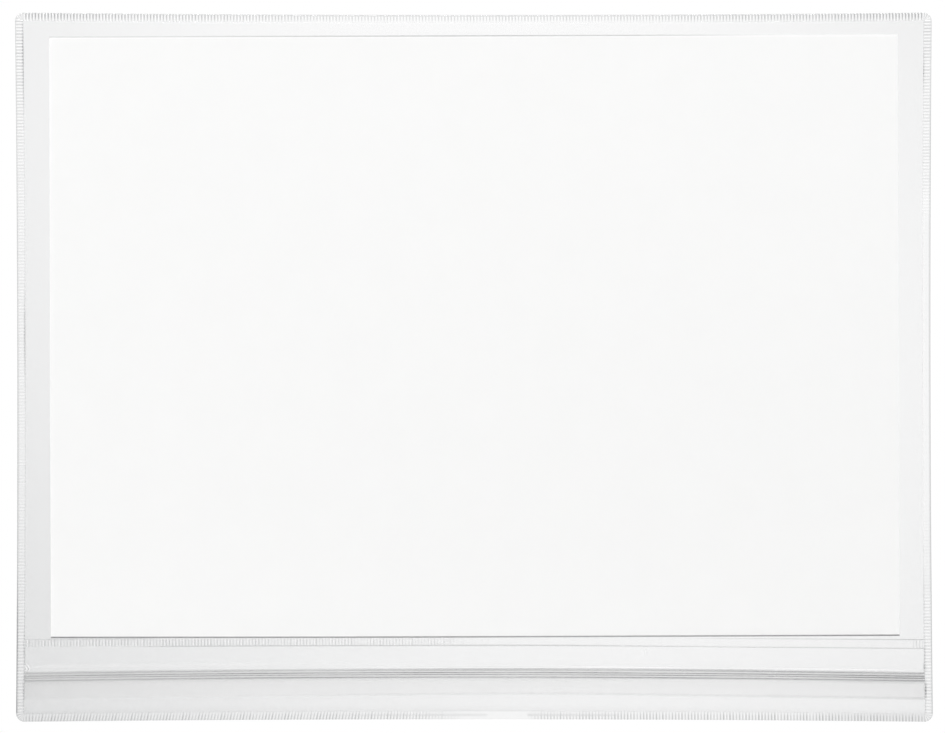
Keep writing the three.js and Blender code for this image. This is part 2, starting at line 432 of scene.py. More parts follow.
back_plastic = clear_plastic(
    "clear_back_film", film_grey=(0.3, 0.31, 0.32), least=0.0015, gain=0.067, roughness=0.12,
)
front_plastic = clear_plastic(
    "clear_front_film", film_grey=(0.5, 0.51, 0.52), least=0.02, gain=0.0, roughness=0.1,
)
rim_plastic = clear_plastic(
    "welded_rim_plastic", film_grey=(0.35, 0.36, 0.37), least=0.005, gain=0.06, roughness=0.15,
)
zip_plastic = clear_plastic(
    "zip_strip_plastic", film_grey=(0.5, 0.51, 0.52), least=0.02, gain=0.0, roughness=0.14,
)
plastics = (back_plastic, front_plastic, rim_plastic, zip_plastic)
print("plastics:", [plastic.name for plastic in plastics])

# %% [markdown]
# Shaping helpers
#
# The welds shrink the flat film a little: the long edges bow inwards by 0.9 mm, the short ones by
# 0.65 mm, and the zip bows up by 1.4 mm halfway along. The pocket also leans to the left by a tenth
# of a degree towards its top. Every piece of film is drawn flat first and then moved by the same
# function.

# %% How the welds draw the film in
SIDE_DRAW = 0.65 * MM
EDGE_DRAW = 0.9 * MM
ZIP_BOW = 1.4 * MM
SEAM_BOW = 0.5 * MM
DRAW_REACH = 25 * MM
SKEW = 0.0016

rise_levels = [-half_height, lip_edge, profile_top, seam_top, seam_top + DRAW_REACH,
               half_height - DRAW_REACH, half_height]
rise_amounts = [EDGE_DRAW, ZIP_BOW, ZIP_BOW, SEAM_BOW, 0.0, 0.0, -EDGE_DRAW]


def drawn_in(x, z):
    bow = 1 - (x / half_width) ** 2
    waist = 1 - (z / half_height) ** 2
    narrowed = x * (1 - SIDE_DRAW / half_width * waist)
    return narrowed - SKEW * z, z + bow * np.interp(z, rise_levels, rise_amounts)


print("halfway along, the lower edge is at", round(1e3 * float(drawn_in(0.0, -half_height)[1]), 2), "mm")

# %% [markdown]
# Two builders make every mesh. A sheet is two grids of points, its back and its front, with walls
# round them. A strip is a section carried past many stations. Both store painted shade and painted
# light at each point, and both give closed skins with their faces outwards.

# %% Finishing a mesh
SHARP_ANGLE = math.radians(30)


def finish_mesh(name, points, faces, painted_shade, painted_light, material):
    mesh = bpy.data.meshes.new(name)
    mesh.from_pydata(points.tolist(), [], faces)
    for label, values in (("painted_shade", painted_shade), ("painted_light", painted_light)):
        attribute = mesh.attributes.new(label, "FLOAT", "POINT")
        attribute.data.foreach_set("value", np.clip(values, 0, 1).astype(np.float32))
    mesh.validate()
    mesh.shade_smooth()
    mesh.set_sharp_from_angle(angle=SHARP_ANGLE)
    piece = bpy.data.objects.new(name, mesh)
    scene.collection.objects.link(piece)
    mesh.materials.append(material)
    print(f"{name}: {len(points)} points, {len(faces)} faces")
    return piece


print("edges sharper than", round(math.degrees(SHARP_ANGLE)), "degrees stay sharp")


# %% Builder of sheets
def closed_sheet(name, back_grid, front_grid, painted_shade, painted_light, material):
    """Closes a back and a front grid of points. The painted shade and painted light mark the front alone.
    """
    count = painted_shade.size
    numbers = np.arange(count).reshape(painted_shade.shape)
    low_left, low_right = numbers[:-1, :-1], numbers[1:, :-1]
    high_left, high_right = numbers[:-1, 1:], numbers[1:, 1:]
    back = np.stack([low_left, high_left, high_right, low_right], -1).reshape(-1, 4)
    front = np.stack([low_left, low_right, high_right, high_left], -1).reshape(-1, 4) + count
    edge = np.concatenate([numbers[:, 0], numbers[-1, 1:], numbers[-2::-1, -1], numbers[0, -2:0:-1]])
    after = np.roll(edge, -1)
    walls = np.stack([edge, after, after + count, edge + count], -1)
    faces = np.concatenate([back, front, walls]).tolist()
    points = np.concatenate([back_grid.reshape(-1, 3), front_grid.reshape(-1, 3)])
    marks = [np.append(np.zeros(count), mark) for mark in (painted_shade, painted_light)]
    return finish_mesh(name, points, faces, *marks, material)


def flat_at(depth):
    return lambda x, z: np.full_like(x, depth)


def film_sheet(name, xs, zs, back, front, material, painted_shade=flat_at(0.0)):
    """A sheet drawn in by the welds. back, front and the painted shade are functions of the place on it.
    """
    x, z = np.meshgrid(xs, zs, indexing="ij")
    moved_x, moved_z = drawn_in(x, z)
    grids = [np.stack([moved_x, -depth(x, z), moved_z], -1) for depth in (back, front)]
    return closed_sheet(name, *grids, painted_shade(x, z), np.zeros_like(x), material)


print("builders of sheets:", closed_sheet.__name__, "and", film_sheet.__name__)


# %% Builder of strips
def strip_mesh(name, grid, material, painted_shade, painted_light, closed):
    """grid[s, i] is point i of the section at station s. closed joins the last station to the first."""
    stations, count = grid.shape[:2]
    numbers = np.arange(stations * count).reshape(stations, count)
    ahead = np.roll(numbers, -1, axis=0)
    if not closed:
        numbers, ahead = numbers[:-1], ahead[:-1]
    quads = np.stack([numbers, np.roll(numbers, -1, axis=1), np.roll(ahead, -1, axis=1), ahead], -1)
    faces = quads.reshape(-1, 4).tolist()
    if not closed:
        last = (stations - 1) * count
        faces += [list(range(count))[::-1], list(range(last, last + count))]
    return finish_mesh(name, grid.reshape(-1, 3), faces, painted_shade.ravel(), painted_light.ravel(), material)


print("builder of strips:", strip_mesh.__name__)

# %% [markdown]
# Back film
#
# The back is one flat sheet, 0.3 mm thick. Its edge is part of the welded rim, which is a piece of
# its own below, so this sheet only reaches to the weld.

# %% Back film
WELD_LAP = 0.02 * MM
SHEET_STEP = 4 * MM


def spaced(low, high, step):
    """Even places from low to high, about a step apart."""
    return np.linspace(low, high, max(2, round((high - low) / step) + 1))


back_xs = spaced(-band_inner - WELD_LAP, band_inner + WELD_LAP, SHEET_STEP)
back_zs = spaced(bottom_band - WELD_LAP, half_height - WELD_BAND + WELD_LAP, SHEET_STEP)
back_film = film_sheet("back_film", back_xs, back_zs, flat_at(0.0), flat_at(BACK_FILM), back_plastic)
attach(back_film, "pocket")
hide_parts("back_sheet")

# %% [markdown]
# Front film
#
# The front film climbs from the weld over 7 mm until it clears the paper and the zip's tape. Its
# edge is creased along the weld, and that narrow hem belongs to the rim below, so this sheet starts
# just inside it. Its grid lines lie closer together where it climbs.

# %% Front film
HEM = 0.15 * MM
hem_inner = WELD_BAND + HEM
near_edge = np.array([0, 0.15, 0.35, 0.65, 1.1, 1.7, 2.5, 3.6, 5.0, RISE_RUN / MM - HEM / MM]) * MM
film_half = half_width - hem_inner + WELD_LAP
film_top = half_height - hem_inner + WELD_LAP
front_xs = np.concatenate([
    near_edge - film_half,
    spaced(-band_inner + RISE_RUN, band_inner - RISE_RUN, SHEET_STEP)[1:-1],
    film_half - near_edge[::-1],
])
front_zs = np.concatenate([
    spaced(film_edge, half_height - WELD_BAND - RISE_RUN, SHEET_STEP)[:-1],
    film_top - near_edge[::-1],
])


def film_lift(inset):
    return np.sin(np.clip((inset - WELD_BAND) / RISE_RUN, 0, 1) * math.pi / 2)


def film_back(inset):
    return BACK_FILM + FILM_GAP + (TAPE_FRONT - BACK_FILM) * film_lift(inset)


def film_front(inset):
    return RIM_FRONT + (PANEL_FRONT - RIM_FRONT) * film_lift(inset)


def inset_of(x, z):
    return np.minimum(half_width - np.abs(x), half_height - z)


front_film_piece = film_sheet(
    "front_film", front_xs, front_zs,
    lambda x, z: film_back(inset_of(x, z)), lambda x, z: film_front(inset_of(x, z)), front_plastic,
)
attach(front_film_piece, "pocket")
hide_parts("front_sheet")

# %% [markdown]
# Welded rim
#
# A ribbed bar presses the films together. It leaves a band 2.7 mm wide with a rib every 1.12 mm,
# square to the edge. The band is one closed strip: a section carried once round the outline, with
# six stations to each rib, so that every rib is real. The way round has eight legs, four straight
# ones and four arcs, and starts at the left end of the lower edge.

# %% Path round the rim
RIB_PITCH = 1.12 * MM
STATIONS_PER_RIB = 6
corner_x = half_width - CORNER_RADIUS
corner_z = half_height - CORNER_RADIUS
straight_x, straight_z, arc = 2 * corner_x, 2 * corner_z, CORNER_RADIUS * math.pi / 2
legs = [straight_x, arc, straight_z, arc, straight_x, arc, straight_z, arc]
starts = np.concatenate([[0.0], np.cumsum(legs)])
ribs_round = round(starts[-1] / RIB_PITCH)
way = np.linspace(0, starts[-1], ribs_round * STATIONS_PER_RIB, endpoint=False)
leg = np.searchsorted(starts, way, side="right") - 1
along = way - starts[leg]
quarter = leg // 2
heading = quarter * math.pi / 2 + np.where(leg % 2 == 1, along / CORNER_RADIUS, 0.0)
corner_signs = np.array([(-1, -1), (1, -1), (1, 1), (-1, 1)])
from_corner = corner_signs[quarter] * (corner_x, corner_z)
to_corner = corner_signs[(quarter + 1) % 4] * (corner_x, corner_z)
straight = leg % 2 == 0
centre = np.where(straight[:, None], from_corner, to_corner)
ahead = np.stack([np.cos(heading), np.sin(heading)], -1)
outward = np.stack([np.sin(heading), -np.cos(heading)], -1)
centre = centre + np.where(straight, along, 0.0)[:, None] * ahead
path_x, path_z = centre[:, 0], centre[:, 1]
on_bottom, on_right, on_top, on_left = (leg == number for number in (0, 2, 4, 6))
print(ribs_round, "ribs round the rim,", len(way), "stations")

# %% [markdown]
# The section starts at the cut edge, crosses the front of the band to the hem, and comes back along
# the back face. The builder wants it the other way round for this path, so it is turned at the end.
# Beside and below the zip there is no front film, so the hem closes up there. The grooves are a
# little narrower than the lands between them. The ribs in the right half of the lower edge stand
# square, and those in the left half lean over a little, as on the photographed pocket.

# %% Section of the rim
RIB_HEIGHT = 0.075 * MM
BOTTOM_SLANT = 0.22
SLANT_EASE = 8 * MM
SLANT_FROM = 20 * MM
SLANT_FULL = -60 * MM
CLOSED_HEM = 0.02 * MM
HEM_PROUD = 0.04 * MM
HEM_THICKNESS = 0.03 * MM
HEM_ROOT = 0.06 * MM


def smooth(value, low, high):
    """Rises softly from 0 at low to 1 at high."""
    share = np.clip((value - low) / (high - low), 0, 1)
    return share * share * (3 - 2 * share)


# Each point has its inset from the cut edge, its depth from the back face and its share of the ribs.
weld_points = np.array([
    (0.03, 0.06, 0.0), (0.0, 0.3, 0.3), (0.05, 0.42, 0.8), (0.2, 0.5, 1.0), (0.5, 0.5, 1.0),
    (0.9, 0.5, 1.0), (1.4, 0.5, 1.0), (1.9, 0.5, 1.0), (2.35, 0.5, 1.0), (2.7, 0.5, 0.4),
    (2.7, 0.5, 0.0), (2.7, 0.3, 0.0), (2.7, 0.3, 0.0),
    (2.7, 0.0, 0.0), (2.0, 0.0, -0.6), (0.25, 0.0, -0.6),
]) * (MM, MM, 1.0)
HEM_OUT, HEM_IN, HEM_BACK = 10, 11, 12
level_inset, level_depth, rib_share = weld_points.T
edge_z = path_z + outward[:, 1] * CORNER_RADIUS
foot = edge_z < -corner_z
beside_zip = (edge_z < film_edge) & ~foot
over_tape = foot | beside_zip
hem_width = np.where(over_tape, CLOSED_HEM, HEM)
inset = np.tile(level_inset, (len(way), 1))
inset[:, HEM_OUT] += hem_width
inset[:, HEM_IN] += hem_width
low_front = RIM_FRONT + HEM_PROUD + (GROOVE_FLOOR - RIM_FRONT) * smooth(hem_width, 0, JOINT_GAP)
depth = np.tile(level_depth, (len(way), 1))
depth[:, HEM_OUT] = np.where(over_tape, low_front, film_front(WELD_BAND + hem_width))
depth[:, HEM_IN] = np.where(over_tape, low_front - HEM_THICKNESS, film_back(WELD_BAND + hem_width))
depth[:, HEM_BACK] = np.where(over_tape, RIM_FRONT - HEM_ROOT, film_back(WELD_BAND))


def ribbed(stations, per_rib):
    """How much of a groove, and how much of a land between grooves, each station has."""
    wave = np.cos(2 * math.pi * np.arange(stations) / per_rib)
    return ((0.5 - 0.5 * wave) ** 1.5)[:, None], ((0.5 + 0.5 * wave) ** 2)[:, None]


groove, land = ribbed(len(way), STATIONS_PER_RIB)
depth = np.maximum(depth - RIB_HEIGHT * groove * rib_share, 0.0)
slant = BOTTOM_SLANT * on_bottom * smooth(corner_x - np.abs(path_x), 0, SLANT_EASE)
slant = slant * smooth(-path_x, -SLANT_FROM, -SLANT_FULL)
flat = centre[:, None] + outward[:, None] * (CORNER_RADIUS - inset)[..., None]
flat = flat + ahead[:, None] * (slant[:, None] * (inset - WELD_BAND / 2))[..., None]
rim_x, rim_z = drawn_in(flat[..., 0], flat[..., 1])
rim_grid = np.stack([rim_x, -depth, rim_z], -1)
print("rim grid", rim_grid.shape)

# %% [markdown]
# The ribs are drawn by painted shade in their grooves and painted highlights on the lands between.
# How strongly they show changes round the rim. These are the strengths seen on the photographed
# pocket: bold towards both ends of the top, faint halfway down the right side, and almost smooth at
# one place on the lower edge. Each table gives places in millimetres from the pocket's middle, and the
# strength there. No two ribs are quite alike, so each also has its own luck, drawn from a seeded
# generator.

# %% Strength of the ribs
RIB_SEED = 11
rib_luck = np.random.default_rng(RIB_SEED).uniform(0.6, 1.0, ribs_round).repeat(STATIONS_PER_RIB)
rib_luck = np.where(on_top, 0.5 + 0.5 * rib_luck, rib_luck)


def read_off(place, points):
    """Reads a strength off a short table of places, in millimetres, and strengths."""
    places, strengths = np.array(points).T
    return np.interp(place, places * MM, strengths)


def round_the_rim(top, bottom, left, right, corner):
    """Reads each side off its own table. The rounded corners have a strength of their own."""
    sides = [(on_top, path_x, top), (on_bottom, path_x, bottom), (on_left, path_z, left),
             (on_right, path_z, right)]
    strengths = [read_off(place, points) for side, place, points in sides]
    return np.select([side for side, place, points in sides], strengths, corner)


# Strength of the painted shade in the grooves.
dark = round_the_rim(
    top=[(-150, 0.85), (-80, 0.6), (-40, 0.36), (60, 0.45), (120, 0.7), (150, 0.85)],
    bottom=[(-155, 0.55), (-60, 0.6), (-22, 0.6), (-10, 0.3), (-4, 0.0), (18, 0.0), (23, 0.45),
            (35, 0.5), (155, 0.7)],
    left=[(-120, 0.26), (-75, 0.22), (-40, 0.14), (60, 0.2), (115, 0.65)],
    right=[(-120, 0.4), (-90, 0.4), (-50, 0.06), (58, 0.06), (66, 0.3), (95, 0.4), (120, 0.6)],
    corner=np.where((path_x > 0) & (path_z < 0), 0.7, 0.5),
)
# Strength of the painted highlights on the lands.
white = round_the_rim(
    top=[(-150, 0.8), (-80, 0.55), (-40, 0.25), (100, 0.3), (150, 0.75)],
    bottom=[(-155, 0.15), (-100, 0.25), (-22, 0.35), (-10, 0.25), (-4, 0.0), (18, 0.0), (23, 0.25),
            (155, 0.0)],
    left=[(-120, 0.45), (-70, 0.38), (-30, 0.35), (0, 0.42), (70, 0.45), (115, 0.8)],
    right=[(-120, 0.5), (-85, 0.4), (-60, 0.1), (50, 0.05), (55, 0.45), (64, 0.45), (110, 0.5)],
    corner=0.45,
)
print(f"grooves are {100 * dark.min():.0f} to {100 * dark.max():.0f}% dark")

# %% [markdown]
# The cut edge gets a thin line of painted shade, bold low on the left side. Just inside the weld the
# film has soft creases at both sides, and it is folded over near the two lower corners, and painted
# shade marks them. Along the lower ribs a second line of painted shade shows where the bar slipped,
# with a patch drawn lighter at the smooth place. The right end of the lower edge gets painted shade,
# and the hem on the right side a painted highlight.

# %% Cut edge, creases and folds of the rim
def bell(value, middle, width):
    """1 at the middle, and soft towards both sides of it."""
    return np.exp(-(((value - middle) / width) ** 2))


edge = round_the_rim(
    top=[(-150, 0.3), (-110, 0.4), (-40, 0.5), (90, 0.5), (150, 0.3)],
    bottom=[(-155, 0.15), (-50, 0.15), (-20, 0.0), (25, 0.0), (50, 0.1), (155, 0.15)],
    left=[(-121, 0.95), (-112, 0.8), (-99, 1.0), (-88, 0.9), (-72, 0.5), (60, 0.4), (120, 0.3)],
    right=[(-120, 0.55), (40, 0.45), (80, 0.5), (120, 0.25)],
    corner=0.2,
)
# Each has its side, -1 or 1, the height of its middle, its reach up and down, and the strength of its
# painted shade.
CREASE_SHADES = (
    (-1, 111, 9, 0.7), (-1, 98, 8, 0.3), (-1, 11, 13, 0.5), (-1, -98, 5, 0.45), (-1, -114, 7, 0.55),
    (1, 104, 6, 0.42), (1, -82, 8, 0.18), (1, -101, 6, 0.5), (1, -119, 4, 0.42),
)
FOLD_SHADES = ((-1, -112, 3, 0.35), (1, -113, 3, 1.2), (1, -105, 1.2, 0.5))


def beside_welds(marks):
    return sum(
        strength * (np.sign(path_x) == hand) * (on_left | on_right) * bell(path_z, z * MM, reach * MM)
        for hand, z, reach, strength in marks
    )


# Painted shade at the right end of the lower edge and along the slip line, a painted highlight along the
# right hem, and a patch drawn lighter at the smooth place.
bottom_shade = 0.15 * on_bottom * smooth(path_x, 100 * MM, 145 * MM)
slip_line = on_bottom * read_off(path_x, [
    (-60, 0.0), (-40, 0.15), (-15, 0.3), (4, 0.15), (5, 0.0), (18, 0.0), (19, 0.3), (48, 0.25), (52, 0.0),
])
slip_lighter = 0.1 * on_bottom * bell(path_x, 12 * MM, 8 * MM)
hem_white = on_right * read_off(path_z, [(-75, 0.0), (-60, 0.4), (50, 0.4), (60, 0.0)])
print(len(CREASE_SHADES), "creases and", len(FOLD_SHADES), "folds along the side welds")

# %% Welded rim
EDGE_BARE = 0.35 * MM
INNER_FADE = 0.55
SIDE_SHARE = 0.8
# Each line along the band carries painted shade, except the hem, which carries a painted highlight. Each
# has the inset of its middle and its width, in millimetres.
BAND_LINES = {
    "cut edge": (0.2, 0.3), "slip": (1.5, 0.35), "fold": (2.5, 0.35), "painted_shade": (2.8, 0.18),
    "hem": (2.8, 0.15),
}


def on_line(name, strength):
    middle, width = BAND_LINES[name]
    return strength[:, None] * bell(inset, middle * MM, width * MM)


front_share = (rib_share > 0) * 1.0
faded = 1 - INNER_FADE * smooth(inset, 1.2 * MM, 2.7 * MM)
across_band = np.where((on_top | on_bottom)[:, None], faded, SIDE_SHARE)
# Painted shade: the grooves, the cut edge, the creases, the folds, the lower right end and the slip line.
rim_painted_shade = np.maximum.reduce([
    groove * (dark * rib_luck)[:, None] * across_band * front_share,
    on_line("cut edge", edge) * front_share,
    on_line("painted_shade", beside_welds(CREASE_SHADES)),
    on_line("fold", beside_welds(FOLD_SHADES)) * (level_depth > 0),
    bottom_shade[:, None] * front_share,
    on_line("slip", slip_line) * front_share,
])
# Painted highlights on the lands and the right hem, and the smooth place drawn lighter.
rim_painted_light = np.maximum.reduce([
    land * (white * rib_luck[::-1])[:, None] * front_share * (inset > EDGE_BARE),
    on_line("hem", hem_white),
    slip_lighter[:, None] * front_share,
])
section_turned = (rim_grid[:, ::-1], rim_plastic, rim_painted_shade[:, ::-1], rim_painted_light[:, ::-1])
rim = strip_mesh("welded_rim", *section_turned, closed=True)
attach(rim, "pocket")
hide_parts("front_sheet", "zip_lower_rail")

# %% [markdown]
# Lower half of the zip
#
# The lower tape is welded into the bottom rim. At its upper edge it carries the half of the zip with
# two grooves. It is a sheet as well, with a row of grid lines at each wall of a groove. At both ends
# the welds have crushed the walls flat.

# %% Walls of the grooves
END_WALL = 0.45 * MM
MIDDLE_WALL = 0.7 * MM
GROOVE = 1.05 * MM
WALL_ROUND = 0.09 * MM

wall_lines = []
wall_level = profile_bottom
for wall, gap in ((END_WALL, GROOVE), (MIDDLE_WALL, GROOVE), (END_WALL, 0.0)):
    wall_lines += [(wall_level, 0.0), (wall_level + WALL_ROUND, 1.0),
                   (wall_level + wall - WALL_ROUND, 1.0), (wall_level + wall, 0.0)]
    wall_level += wall + gap
wall_levels, wall_shares = np.array(wall_lines).T
print("grooves", round(1e3 * GROOVE, 2), "mm wide, middle wall", round(1e3 * MIDDLE_WALL, 2), "mm thick")

# %% Lower tape and grooves
CRUSH_RUN = 1.5 * MM
TAPE_STEP = 0.9 * MM
WALL_SHADE = 0.1
WELD_SHADE = 0.07


def uncrushed(x):
    return smooth(band_inner - np.abs(x), 0.0, CRUSH_RUN)


def lower_front(x, z):
    wall = np.interp(z, wall_levels, wall_shares)
    tape = RIM_FRONT + (GROOVE_FLOOR - RIM_FRONT) * smooth(z - bottom_band, 0, JOINT_GAP) * uncrushed(x)
    return tape + (WALL_FRONT - GROOVE_FLOOR) * wall * uncrushed(x)


# Painted shade on the walls of the grooves and just above the bottom weld.
def lower_painted_shade(x, z):
    on_wall = (np.interp(z, wall_levels, wall_shares) > 0) * (z > profile_bottom - 0.1 * MM)
    return np.maximum(WALL_SHADE * on_wall, WELD_SHADE * bell(z, bottom_band, 1.3 * MM))


CRUSH_STEPS = np.array([0, 0.12, 0.25, 0.4, 0.6, 0.9, 1.4]) * MM
lower_xs = np.concatenate([
    -band_inner + CRUSH_STEPS,
    spaced(-band_inner + CRUSH_RUN, band_inner - CRUSH_RUN, SHEET_STEP)[1:-1],
    band_inner - CRUSH_STEPS[::-1],
])
lower_zs = np.unique(np.concatenate([
    bottom_band + np.array([-WELD_LAP, JOINT_GAP]),
    spaced(bottom_band + JOINT_GAP, profile_bottom, TAPE_STEP),
    wall_levels,
]).round(7))
lower_zip = film_sheet(
    "zip_lower_strip", lower_xs, lower_zs,
    flat_at(BACK_FILM + FILM_GAP), lower_front, zip_plastic, painted_shade=lower_painted_shade,
)
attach(lower_zip, "pocket")
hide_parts("zip_lower_rail")

# %% [markdown]
# Upper half of the zip
#
# One strip from the ribbed seam down to the lip. Its section has the seam band, the tape, the step
# out to the zip, the face with its ridges, and the lip. Two tongues on the back sit in the grooves,
# and a small chamfer at the back of the seam leaves room for the paper's foot. The strip is carried
# across the pocket in small steps, so that the seam can have real ribs.

# %% Sizes of the upper strip
TAPE = 0.4 * MM
STEP_ROOM = 0.25 * MM
STEP_RUN = 2.4 * MM
LIP_STEP = 0.65 * MM
LIP_STEP_RUN = 1.6 * MM
LIP_HEM = 1.2 * MM
TONGUE_WIDTH = 0.7 * MM
TONGUE_HEIGHT = 1.05 * MM
TONGUE_TAPER = 0.1 * MM
BEND = 0.12 * MM
TOP_CHAMFER = 0.1 * MM
CHAMFER_RUN = 0.7 * MM
SEAM_FOOT = 0.2 * MM
FOOT_RUN = 0.6 * MM

step_slope = math.hypot(STEP_RUN, PLATE_FRONT - TAPE_FRONT)
thinner = TAPE * (step_slope - (PLATE_FRONT - TAPE_FRONT)) / STEP_RUN
plate_top = profile_top + STEP_ROOM
step_foot = plate_top + thinner
step_head = step_foot + STEP_RUN
lip_top = profile_bottom - JOINT_GAP
lip_flat = lip_top - LIP_STEP_RUN
lip_front, lip_back = PLATE_FRONT - LIP_STEP, PLATE_BACK - LIP_STEP
tongue_low = profile_bottom + END_WALL + GROOVE / 2
tongue_centres = [tongue_low, tongue_low + GROOVE + MIDDLE_WALL]
print("step", round(1e3 * STEP_RUN, 2), "mm high, tongues", round(1e3 * TONGUE_HEIGHT, 2), "mm deep")

# %% Section of the upper strip
# Each straight run of the front has its name, the depth and level of its end, and its count of points.
FRONT_RUNS = (
    ("seam", PANEL_FRONT, seam_bottom + SEAM_FOOT, 9),
    ("tape", TAPE_FRONT, seam_bottom, 1),
    ("tape", TAPE_FRONT, seam_bottom - FOOT_RUN, 2),
    ("tape", TAPE_FRONT, step_head + BEND, 6),
    ("step", TAPE_FRONT, step_head, 1),
    ("step", PLATE_FRONT, step_foot, 12),
    ("face", PLATE_FRONT, lip_top, 28),
    ("lip", lip_front, lip_flat, 4),
    ("lip", lip_front, lip_edge + LIP_HEM, 2),
    ("lip", lip_front, lip_edge, 5),
)


def straight_run(kind, start, end, count):
    """Points on a straight run of the section, with its start left out."""
    shares = np.linspace(0, 1, count + 1)[1:, None]
    return [(*point, kind) for point in np.array(start) * (1 - shares) + np.array(end) * shares]


def flap_section():
    points = [(TAPE_BACK + TOP_CHAMFER, seam_top, "back"), (PANEL_FRONT, seam_top, "seam")]
    for kind, depth_end, level_end, count in FRONT_RUNS:
        points += straight_run(kind, points[-1][:2], (depth_end, level_end), count)
    points += [(lip_back, lip_edge, "back"), (lip_back, lip_flat, "back"), (PLATE_BACK, lip_top, "back")]
    for z in tongue_centres:
        root, tip = TONGUE_WIDTH / 2, TONGUE_WIDTH / 2 - TONGUE_TAPER
        points += [(PLATE_BACK, z - root, "tongue"), (PLATE_BACK - TONGUE_HEIGHT, z - tip, "tongue"),
                   (PLATE_BACK - TONGUE_HEIGHT, z + tip, "tongue"), (PLATE_BACK, z + root, "tongue")]
    points += [(PLATE_BACK, plate_top, "back"), (TAPE_BACK, plate_top + STEP_RUN, "back")]
    return points + [(TAPE_BACK, seam_top - CHAMFER_RUN, "back")]


section = flap_section()
flap_depth, flap_level, flap_kind = (np.array(column) for column in zip(*section))
print(len(section), "points in the upper strip's section")

# %% [markdown]
# The strip is carried along at four stations to a rib. Its ribs show on the left half of the seam and
# at the very right end. The foot of the seam wanders downwards to the right by half a millimetre, and
# the lip's edge rises by almost as much a little right of the middle. Towards both ends the whole
# strip is crushed flat into the side welds.

# %% Stations of the upper strip
FLAP_STATIONS = 4
END_CRUSH = 3.0 * MM
CRUSHED_GAP = 0.02 * MM
SEAM_RIB_HEIGHT = 0.08 * MM
LINE_DEPTH = 0.06 * MM
LIP_RISE = 0.45 * MM
FOOT_DROP = 0.25 * MM
FOOT_WANDER = 0.5 * MM

# Each line on the zip's face has its distance below the top, its width and the strength of its painted
# shade.
ZIP_LINES = ((0.55, 0.24, 0.5), (1.47, 0.14, 0.9), (2.17, 0.14, 0.85), (3.05, 0.23, 0.62))

flap_ribs = round(2 * band_inner / RIB_PITCH)
flap_xs = np.linspace(-band_inner, band_inner, flap_ribs * FLAP_STATIONS + 1)
across = flap_xs[:, None]
seam_groove, seam_land = ribbed(len(flap_xs), FLAP_STATIONS)
seam_ribs = 1 - 0.95 * smooth(across, -20 * MM, 10 * MM) + 0.5 * smooth(across, 152.5 * MM, 154.5 * MM)
in_seam = (flap_kind == "seam") * smooth(flap_level, seam_bottom + 0.1 * MM, seam_bottom + 0.5 * MM)
in_seam = in_seam * (1 - smooth(flap_level, seam_top - 0.5 * MM, seam_top - 0.1 * MM))

seam_foot_drop = FOOT_DROP + FOOT_WANDER * smooth(across, 20 * MM, 110 * MM)
foot_share = smooth(flap_level, seam_bottom - 0.65 * MM, seam_bottom)
foot_share = foot_share * smooth(-flap_level, -seam_top, -seam_bottom)
foot_share = foot_share * np.isin(flap_kind, ("seam", "tape"))
lip_rise = LIP_RISE * bell(across, 25 * MM, 50 * MM) * smooth(-flap_level, -lip_flat, -lip_edge)
level = flap_level - seam_foot_drop * foot_share + lip_rise
face_lines = (flap_kind == "face") * sum(
    bell(flap_level, profile_top - down * MM, width * MM) for down, width, strength in ZIP_LINES
)
depth = flap_depth - LINE_DEPTH * face_lines - SEAM_RIB_HEIGHT * seam_groove * in_seam * seam_ribs
press = smooth(band_inner - np.abs(across), 0.0, END_CRUSH)
crushed_share = (flap_depth - TAPE_BACK) / (PLATE_FRONT - TAPE_BACK)
flat_depth = BACK_FILM + CRUSHED_GAP + (RIM_FRONT - BACK_FILM) * crushed_share
depth = flat_depth + (depth - flat_depth) * press
flap_x, flap_z = drawn_in(*np.broadcast_arrays(across, level))
flap_grid = np.stack([flap_x, -depth, flap_z], -1)
print("upper strip grid", flap_grid.shape)

# %% [markdown]
# The face of the zip shows four dark lines of painted shade, where the walls of the tongues and
# grooves meet it, with lighter stripes between. Their strength wanders along the zip. Other lines of
# painted shade are the foot, head and grooves of the seam, a band along the top of the face, the bends
# of the step, the crushed ends, and the lip, which is shaded just above its edge.

# %% Dark lines on the zip's face
ZIP_BASE = 0.02
RIPPLE = 0.2
on_face = (flap_kind == "face") & (flap_level < profile_top)
on_step = flap_kind == "step"
ripple = [
    1 + RIPPLE * np.cos(across / (span * MM) + turn)
    for span, turn in ((17, 0.4), (9, 2.0), (13, 1.1), (21, 3.0))
]
zip_strength = read_off(across, [
    (-157, 0.6), (-108, 0.78), (-60, 0.9), (85, 1.0), (115, 1.1), (157, 1.12),
])
zip_base = ZIP_BASE + 0.1 * smooth(across, 90 * MM, 150 * MM)
zip_dark = zip_base * on_face + zip_strength * sum(
    strength * wobble * on_face * bell(flap_level, profile_top - down * MM, width * MM)
    for (down, width, strength), wobble in zip(ZIP_LINES, ripple)
)
top_band = 0.35 * smooth(across, -40 * MM, 20 * MM) * smooth(-across, -110 * MM, -95 * MM)
top_band = top_band * (flap_kind == "face") * bell(flap_level, profile_top - 0.1 * MM, 0.2 * MM)
print(len(ZIP_LINES), "lines on the zip's face, at most", round(float(zip_dark.max()), 2), "dark")

